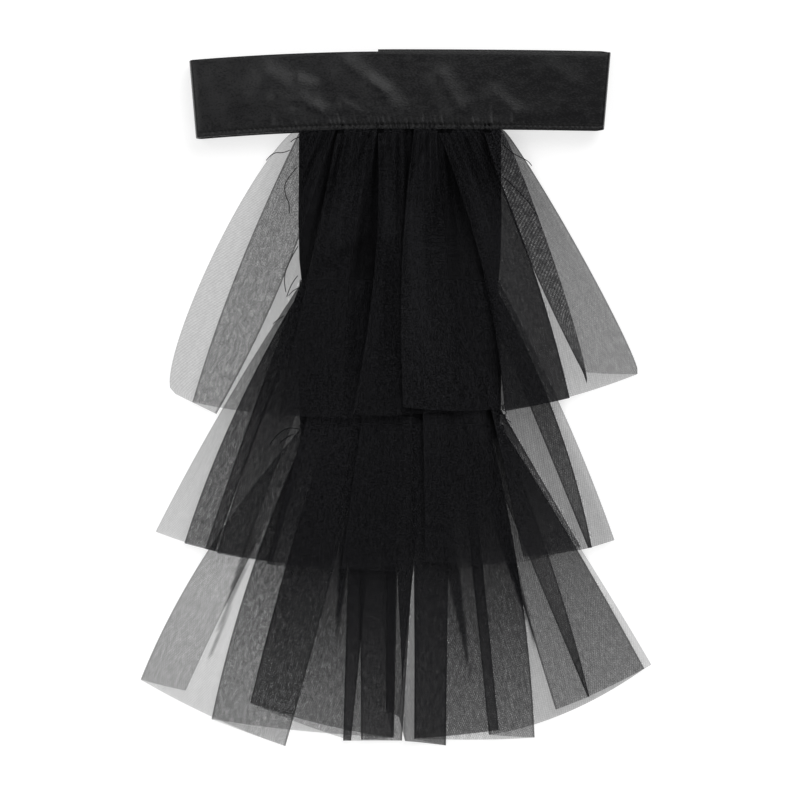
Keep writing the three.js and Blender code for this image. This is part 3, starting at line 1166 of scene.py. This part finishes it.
@dataclass
class Panel:
    """The cloth that hangs from the band and carries the ruffles.

    It hangs seam_under above the surface at the seam and falls to it over fall_length. gap is
    what it keeps to the surface, and edge is its half width at shares of its length.
    """

    width: float = 97 * MM
    length: float = 147 * MM
    wall: float = 0.9 * MM
    seam_under: float = 8.3 * MM
    fall_start: float = 4 * MM
    fall_length: float = 26 * MM
    tuck: float = 6 * MM
    gap: float = 0.02 * MM
    ripple: float = 0.12 * MM
    edge: tuple = (
        (0, 0.99), (0.28, 1), (0.42, 0.99), (0.5, 0.965), (0.62, 0.995), (0.9, 0.995), (1, 0.965),
    )

    def grid(self, rows: int = 60, columns: int = 34) -> Array:
        """The panel's lower side.

        Args:
            rows: Lines across it.
            columns: Points on each line.

        Returns:
            Points from the band's middle.
        """
        down = np.linspace(-self.tuck, self.length, rows)
        share = np.clip(down / self.length, 0, 1)
        half = self.width / 2 * np.interp(share, *zip(*self.edge))
        part = np.clip((down - self.fall_start) / self.fall_length, 0, 1)
        z = self.seam_under * (1 - part * part * (3 - 2 * part))
        across = np.linspace(-1, 1, columns)
        x = half[:, None] * across[None, :]
        ripple = self.ripple * (np.sin(x * 210 + down[:, None] * 60) + 1)
        y = np.broadcast_to(-down[:, None], x.shape)
        return np.stack([x, y, z[:, None] + ripple], -1)

    def build(self, laid: LaidCloth) -> Piece:
        """Makes the panel and lays it down.

        Args:
            laid: The cloth that lies there already.

        Returns:
            The panel's object.
        """
        grid = self.grid()
        laid.lay(grid, self.wall)
        piece = cloth_mesh("panel_cloth", grid + laid.place.shift + np.array([0, 0, self.gap]))
        cut = (grid[..., :2] - grid[..., :2].min((0, 1))) / np.ptp(grid[..., :2], axis=(0, 1))
        lay_out(piece, cut)
        only(piece)
        solid = piece.modifiers.new("wall", "SOLIDIFY")
        solid.thickness = self.wall
        solid.offset = 1.0
        bpy.ops.object.modifier_apply(modifier="wall")
        smooth(piece)
        return piece

    def dress(self, piece: Piece, material: Material) -> None:
        place_piece(piece, Slot.CLOTH, material, "backing_panel")


@dataclass
class TopStitching:
    """A row of short machine stitches, each a small rounded bead of thread."""

    pitch: float = 1.7 * MM
    length: float = 1.15 * MM
    thickness: float = 0.36 * MM

    def bead(self) -> Piece:
        """Models one stitch, as by hand.

        Returns:
            The stitch at the origin, along +X.
        """
        bpy.ops.object.select_all(action="DESELECT")
        bpy.ops.mesh.primitive_uv_sphere_add(segments=8, ring_count=5, radius=0.5)
        bead = bpy.context.object
        bead.scale = (self.length, self.thickness, self.thickness * 0.8)
        bpy.ops.object.transform_apply(location=True, rotation=True, scale=True)
        bead.name = "stitch"
        return bead

    def along(self, name: str, path: Array) -> Piece:
        """Sews a row of stitches along a path.

        Args:
            name: The piece's name.
            path: Points in the row frame, close together.

        Returns:
            All the stitches as one piece.
        """
        bead = self.bead()
        shape = np.array([corner.co[:] for corner in bead.data.vertices])
        faces = [face.vertices[:] for face in bead.data.polygons]
        bpy.data.objects.remove(bead)
        way = np.concatenate([[0], np.linalg.norm(np.diff(path, axis=0), axis=1).cumsum()])
        points, polygons = [], []
        for middle in np.arange(self.pitch, way[-1] - self.pitch, self.pitch):
            start, end = (np.array([np.interp(middle + off, way, path[:, axis]) for axis in range(3)])
                          for off in (-self.length / 2, self.length / 2))
            direction = (end - start) / np.linalg.norm(end - start)
            side = np.cross([0, 0, 1], direction)
            side /= np.linalg.norm(side)
            basis = np.stack([direction, side, np.cross(direction, side)])
            polygons += [[len(points) * len(shape) + corner for corner in face] for face in faces]
            points.append(shape @ basis + (start + end) / 2)
        piece = add_piece(name, np.concatenate(points), polygons)
        piece.data.shade_smooth()
        return piece


@dataclass
class GatherThreads:
    """Loose ends of the gather threads and crumpled raw ends, lying on the tulle."""

    radius: float = 0.2 * MM
    above: float = 0.35 * MM

    def build(self, laid: LaidCloth) -> Piece:
        """Lays every thread down.

        Args:
            laid: The cloth under them.

        Returns:
            All of them as one piece.
        """
        bpy.ops.object.select_all(action="DESELECT")
        bpy.ops.curve.primitive_nurbs_path_add()
        piece = bpy.context.object
        piece.name = "gather_threads"
        curve = piece.data
        curve.splines.clear()
        for route in THREADS:
            spots = np.array(route, dtype=float)
            x, y = to_right(spots[:, 0]), to_up(spots[:, 1])
            z = laid.under(x, y, 1) + self.above
            spline = curve.splines.new("NURBS")
            spline.points.add(len(route) - 1)
            spline.order_u = 3
            spline.use_endpoint_u = True
            spline.resolution_u = 6
            for point, place in zip(spline.points, zip(x + laid.place.x, y + laid.place.y, z)):
                point.co = (*place, 1)
        curve.dimensions = "3D"
        curve.bevel_depth = self.radius
        curve.bevel_resolution = 1
        curve.use_fill_caps = True
        only(piece)
        bpy.ops.object.convert(target="MESH")
        piece = bpy.context.object
        piece.data.shade_smooth()
        return piece


@dataclass
class Studio:
    """The pale table, the soft lights and the camera straight above.

    image is the photograph's side in pixels, and cloth_top the height that its scale holds for.
    """

    image: int = 800
    rise: float = 2.6
    cloth_top: float = 8 * MM
    sensor: float = 36.0
    room_light: float = 0.17
    table_side: float = 6.0
    table_drop: float = 0.3 * MM

    def table(self) -> None:
        """Adds the table."""
        bpy.ops.object.select_all(action="DESELECT")
        bpy.ops.mesh.primitive_plane_add(size=self.table_side, location=(0, 0, -self.table_drop))
        table = bpy.context.object
        bpy.ops.object.transform_apply(location=True, rotation=True, scale=True)
        table.name = "table_top"
        wear(table, TableFinish().material())

    def light(self, name: str, place: tuple, size: float, power: float) -> None:
        """Adds one soft light that points at the jabot.

        Args:
            name: Its name.
            place: Where it stands.
            size: Its side.
            power: Its power in watts.
        """
        bpy.ops.object.light_add(type="AREA", location=place)
        light = bpy.context.object
        light.name = name
        light.data.shape = "SQUARE"
        light.data.size = size
        light.data.energy = power
        far = math.hypot(place[0], place[1])
        light.rotation_euler = (math.atan2(far, place[2]), 0, math.atan2(place[0], -place[1]))

    def world(self) -> None:
        """Adds even light from all round."""
        world = bpy.data.worlds.new("room")
        world.use_nodes = True
        background = world.node_tree.nodes["Background"]
        background.inputs["Color"].default_value = (1, 1, 1, 1)
        background.inputs["Strength"].default_value = self.room_light
        bpy.context.scene.world = world

    def camera(self, place: Place) -> None:
        """Adds the camera, straight above the photograph's middle.

        Args:
            place: The middle of the band's lower edge.
        """
        bpy.ops.object.camera_add(location=(place.x, place.y + to_up(self.image / 2), self.rise))
        camera = bpy.context.object
        camera.rotation_euler = (0, 0, 0)
        camera.data.sensor_width = self.sensor
        camera.data.lens = self.sensor * (self.rise - self.cloth_top) / (self.image * PIXEL)
        bpy.context.scene.camera = camera

    def build(self, place: Place) -> None:
        """Sets everything up.

        Args:
            place: The middle of the band's lower edge.
        """
        self.table()
        self.world()
        self.light("key_light", (0.75, 1.35, 1.7), 1.7, 34.5)
        self.light("fill_light", (-1.3, 0.2, 1.9), 1.8, 19.0)
        self.light("front_light", (0.2, -1.6, 1.7), 1.6, 16.5)
        self.camera(place)
        scene = bpy.context.scene
        scene.view_settings.view_transform = "Standard"
        scene.view_settings.look = "None"


UPPER_FOLDS = (
    Fold(299, 175, 394, -28, crisp=0.35, thick=1.15, full=0, shoulder=0.5),
    Fold(331, 216, 414, 12, thick=0.15, full=-1), Fold(301, 192, 402, -7.5, thick=1.35, full=-1),
    Fold(375.5, 345, 416, -10), Fold(338, 280, 414), Fold(400, 402, 416), Fold(377.6, 352, 414, 9),
    Fold(441, 455, 411), Fold(414, 403, 407, -7, thick=1.7, full=-1.4),
    Fold(478, 570, 398, 8, thick=4.2, full=-2), Fold(437, 504, 411, 12, thick=1.5, full=-1.5),
    Fold(502, 638, 374, 10.5, crisp=0.6, thick=1.05, full=0, shoulder=0.5),
    Fold(482.5, 583, 372, -7, thick=2.8, full=1), Fold(500, 587, 384, 9, crisp=0.4, shoulder=0.6),
)
MIDDLE_FOLDS = (
    Fold(299, 155, 532, -5, crisp=0.3, thick=1.08, full=0),
    Fold(318, 215, 551, -4, thick=1.2, full=0.3), Fold(303, 184, 543.5, -9.5, thick=1.6),
    Fold(352, 272, 562, thick=1.7), Fold(300, 205, 549, -2, crisp=0.6, thick=0.6),
    Fold(348, 243, 558, -2, crisp=0.6, thick=0.6), Fold(310, 217, 553, -3, thick=1.1),
    Fold(375.5, 331, 567, thick=1.3), Fold(349, 267, 564, -3, thick=1.5), Fold(414, 410, 563.6),
    Fold(380, 341, 567), Fold(457, 508, 561), Fold(420, 425, 560.5), Fold(428, 581, 547, thick=0.8),
    Fold(463, 523, 556.6, thick=2.5, full=0.5), Fold(495, 592, 547.6, 12, full=0.4),
    Fold(480.5, 588, 548, thick=1.8, full=0), Fold(501, 615, 540.5, 6, crisp=0.4),
)
LOWER_FOLDS = (
    Fold(316, 185, 691.4, -3, crisp=0.3, full=-0.2), Fold(299, 140, 680.4, -15, crisp=0.4, full=-0.2),
    Fold(365, 285, 747, 3, thick=0.8, full=0.35), Fold(307, 211, 719.9, -9, thick=1.2, sag=0.4),
    Fold(398, 393, 738.4, thick=1.7), Fold(327, 250, 703.4, -3, thick=1.1), Fold(381, 351, 741.4),
    Fold(352, 343, 741.4, thick=1.1), Fold(421, 402, 741.4, thick=1.1),
    Fold(360, 361, 740.4, thick=1.1), Fold(400, 394, 738.4), Fold(388, 386, 709.4, full=0.2),
    Fold(427, 399, 717.4), Fold(391, 405, 741.4, thick=2.2, full=0.3),
    Fold(450, 446, 746.4, thick=0.7, full=0.5), Fold(416, 414, 739.4, thick=1.3, full=0.5),
    Fold(470, 499, 730.9, thick=1.75, full=0.7), Fold(413, 415, 738.4, thick=1.3),
    Fold(490, 535, 738.4, 8, thick=1.35), Fold(459, 489, 735.4, thick=1.55, full=0.1, sag=1.6),
    Fold(504, 645, 669.4, 3, crisp=0.5, thick=0.75, full=-0.2), Fold(469.6, 556, 710.4, full=-0.2),
    Fold(501, 590, 697.4, 6, full=-0.2), Fold(476, 588, 697.4, full=-0.3),
    Fold(503, 652, 665.4, 3, crisp=0.3),
)
# The upper tier's painted shade: each valley wedge is painted darker, and where its shade is below 0
# a ridge wedge is painted lighter.
UPPER_PAINTED_VALLEYS_AND_RIDGES = (
    Valley((375, 158), (368, 262), 15, 0.42), Valley((443, 148), (450, 226), 24, 0.42),
    Valley((391, 232), (388, 360), 11, 0.42, 0.6), Valley((373, 237), (330, 262), 6, 0.36, 0.8),
    Valley((412, 196), (420, 330), 12, -0.45, 0.6), Valley((478, 256), (500, 340), 4, 0.4, 0.8),
    Valley((328, 131), (306, 176), 3.5, 0.5, 0.5), Valley((346, 131), (330, 190), 4.5, 0.45, 0.5),
    Valley((371, 131), (356, 164), 3.5, 0.5, 0.5), Valley((398, 133), (397, 200), 3.5, 0.45, 0.6),
    Valley((414, 137), (411, 170), 3, 0.45, 0.6), Valley((463, 131), (478, 176), 4, 0.45, 0.5),
    Valley((480, 131), (492, 172), 4, 0.5, 0.5), Valley((429, 131), (424, 152), 3, 0.4, 0.6),
    Valley((320, 150), (312, 220), 6, -0.25, 0.6), Valley((340, 200), (335, 245), 9, -0.25, 0.6),
    Valley((470, 170), (486, 230), 6, -0.3, 0.6), Valley((425, 150), (415, 190), 5, -0.3, 0.6),
    Valley((388, 150), (389, 230), 5, -0.3, 0.6), Valley((355, 150), (345, 205), 5, -0.2, 0.6),
)
LOWER_TUCKS = (
    Valley((208, 662), (246, 556), 4.5, 1.6, 0.1, 0.8),
    Valley((336, 642), (343, 566), 3.5, 1.4, 0.1, 0.8),
    Valley((541, 662), (506, 545), 5, 1.2, 0.1, 0.8),
    Valley((471, 680), (453, 570), 6, 0.8, 0.1, 0.8),
)
CREASES = (
    (-68, 29, -44, 15, 6.5, 1.5), (-74, 20, -36, 8, 5.0, 1.2), (-30, 33, 0, 7, 6.5, 1.2),
    (-29, 13, -16, 6, 3.0, 0.65), (17, 27, 29, 7, 6.0, 1.1), (42, 18, 58, 6, 4.6, 0.8),
    (62, 7, 82, 13, 5.0, 0.5), (-90, 31, -80, 12, 6.0, 0.6), (68, 31, 86, 20, 6.0, 0.5),
    (-50, 25, -40, 21, 3.5, 0.5), (-62, 17, -52, 12, 3.2, 0.45), (-16, 24, -6, 17, 3.4, 0.5),
)
THREADS = (
    ((266, 160), (270, 155), (276, 152), (283, 153), (290, 151)),
    ((291, 142), (295, 139), (300, 138)),
    ((297, 168), (289, 177), (284, 186), (286, 197), (290, 205), (289, 214)),
    ((298, 246), (289, 261), (283, 279), (286, 292)),
    ((298, 276), (290, 285), (287, 297)),
    ((300, 288), (293, 290), (289, 296)),
    ((284, 316), (278, 319), (273, 324)),
    ((501, 144), (508, 151), (517, 156), (529, 161), (532, 165)),
    ((502, 177), (512, 185), (523, 197), (532, 206), (538, 217)),
    ((499, 404), (505, 408), (498, 412), (507, 416), (500, 420), (508, 425), (512, 429)),
    ((504, 403), (500, 409), (507, 412), (502, 417), (510, 422)),
    ((299, 429), (291, 427), (283, 430), (276, 436), (270, 444)),
    ((294, 434), (286, 437), (281, 442)),
)


@dataclass
class Jabot:
    """The whole jabot, from the surface up."""

    place: Place

    def ruffles(self) -> list[Ruffle]:
        """The ruffles in the order that they are laid.

        Returns:
            The lower, middle and upper ruffle.
        """
        return [
            Ruffle("lower_tulle_ruffle", "lower_ruffle", 143 * MM, 150 * MM, 3 * MM, LOWER_FOLDS,
                   layer=0.5 * MM, fullness=1.9, tucks=LOWER_TUCKS, seed=3),
            Ruffle("middle_tulle_ruffle", "middle_ruffle", 74 * MM, 134 * MM, 3 * MM, MIDDLE_FOLDS,
                   fullness=1.0, seed=5),
            Ruffle("upper_tulle_ruffle", "upper_ruffle", 0.0, 136 * MM, 6 * MM, UPPER_FOLDS,
                   fullness=0.3, painted_valleys_and_ridges=UPPER_PAINTED_VALLEYS_AND_RIDGES, seed=11),
        ]

    def build(self) -> None:
        """Builds and dresses every piece."""
        laid = LaidCloth(self.place)
        loop = NeckLoop()
        loop.dress(loop.build(self.place), SatinFinish().material())
        panel = Panel()
        panel.dress(panel.build(laid), PanelFinish().material())
        tulle, thread = TulleFinish().material(), ThreadFinish().material()
        for ruffle in self.ruffles():
            ruffle.ceiling = loop.front_top - loop.wall - UNDER_BAND
            ruffle.dress(ruffle.build(laid), tulle)
        place_piece(self.sew(loop), Slot.SATIN, thread)
        place_piece(GatherThreads().build(laid), Slot.TULLE, thread)
        wear(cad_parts["closure_patch"], TapeFinish().material())

    def sew(self, loop: NeckLoop) -> Piece:
        """Sews the row of stitches above the band's lower edge.

        Args:
            loop: The band.

        Returns:
            The stitches.
        """
        across = np.linspace(-loop.half + 6 * MM, loop.half - 6 * MM, 900)
        up = np.full_like(across, loop.stitch_line / loop.height)
        height = loop.front_top + loop.relief(across, up) - 0.25 * MM
        path = loop.point(across, up, height, np.zeros_like(across))
        return TopStitching().along("band_top_stitches", path + self.place.shift)


def main() -> None:
    """Builds the jabot and its studio, and reports each piece."""
    logging.basicConfig(level=logging.INFO, format="%(name)s %(message)s")
    place = Place.from_patch(PATCH_MIDDLE)
    Jabot(place).build()
    Studio().build(place)


if __name__ == "__main__":
    main()
